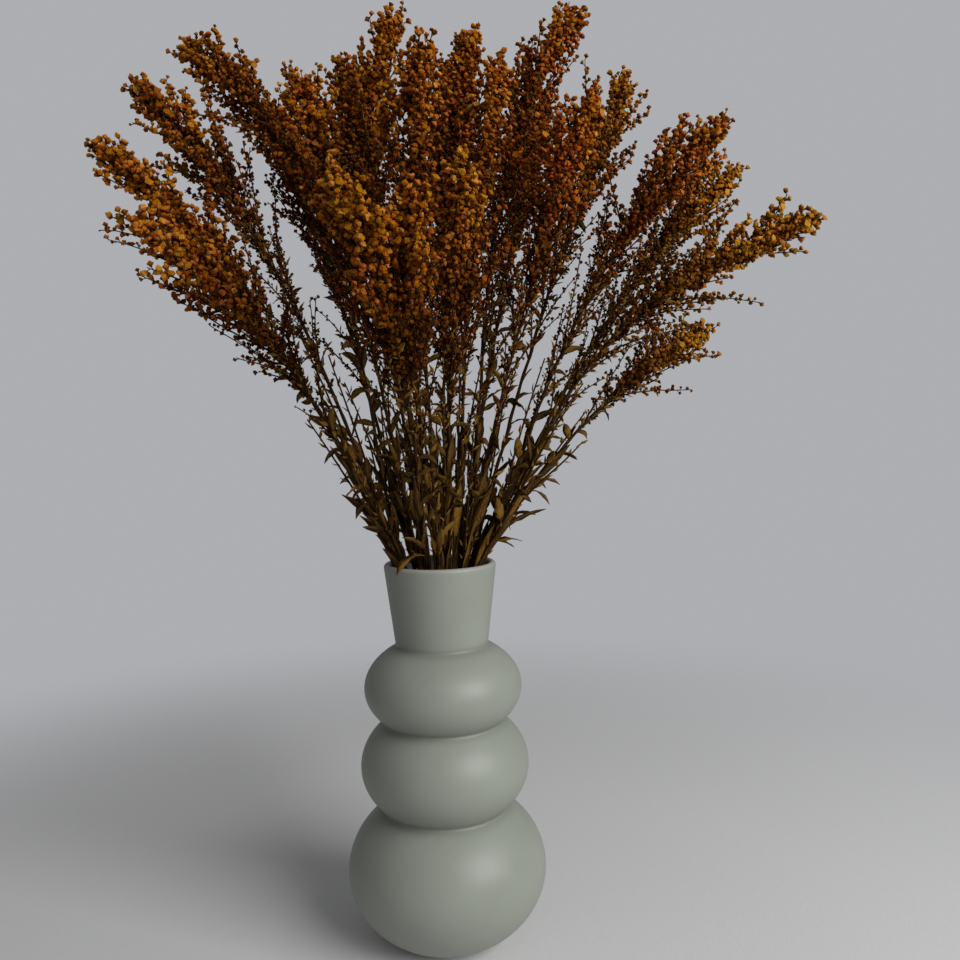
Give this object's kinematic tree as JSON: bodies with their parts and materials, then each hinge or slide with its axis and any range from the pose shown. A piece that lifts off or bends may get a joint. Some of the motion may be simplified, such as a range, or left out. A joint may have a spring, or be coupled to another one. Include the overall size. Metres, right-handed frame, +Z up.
{
  "type": "vase of preserved goldenrod",
  "caption": "Tall ceramic vase with a conical neck over stacked round bulbs, holding a fanned bouquet of dried goldenrod stalks with narrow leaves and amber plumes.",
  "frame": {"origin": "middle of the vase's flat foot, on the surface it stands on", "axes": "+Z up along the vase's axis; the bouquet's front, as pictured, faces -Y, and +X is to the viewer's right"},
  "size_m": [0.431, 0.2801, 0.609],
  "materials": {
    "vase_glaze": "satin",
    "stem": "matte",
    "florets_amber": "matte",
    "florets_rust": "matte",
    "florets_mustard": "matte"
  },
  "bodies": {
    "root": {"vase": "vase_glaze", "stem_left_low": "stem", "plume_left_low": "florets_amber", "stem_left_far": "stem", "plume_left_far": "florets_amber", "stem_left_upper": "stem", "plume_left_upper": "florets_amber", "stem_left_top": "stem", "plume_left_top": "florets_amber", "stem_left_crown": "stem", "plume_left_crown": "florets_amber", "stem_crown_left": "stem", "plume_crown_left": "florets_amber", "stem_tall_left": "stem", "plume_tall_left": "florets_amber", "stem_peak": "stem", "plume_peak": "florets_amber", "stem_spike": "stem", "plume_spike": "florets_rust", "stem_crown_right": "stem", "plume_crown_right": "florets_rust", "stem_tall_right": "stem", "plume_tall_right": "florets_rust", "stem_right_crown": "stem", "plume_right_crown": "florets_rust", "stem_right_twig": "stem", "plume_right_twig": "florets_mustard", "stem_right_arm": "stem", "plume_right_arm": "florets_rust", "stem_right_back": "stem", "plume_right_back": "florets_mustard", "stem_far_right": "stem", "plume_far_right": "florets_mustard", "stem_low_right": "stem", "plume_low_right": "florets_mustard", "stem_front_left": "stem", "plume_front_left": "florets_amber", "stem_front_mid": "stem", "plume_front_mid": "florets_amber", "stem_centre": "stem", "plume_centre": "florets_amber", "stem_back_left": "stem", "plume_back_left": "florets_amber", "stem_back_mid": "stem", "plume_back_mid": "florets_rust", "stem_back_right": "stem", "plume_back_right": "florets_amber"}
  },
  "joints": []
}
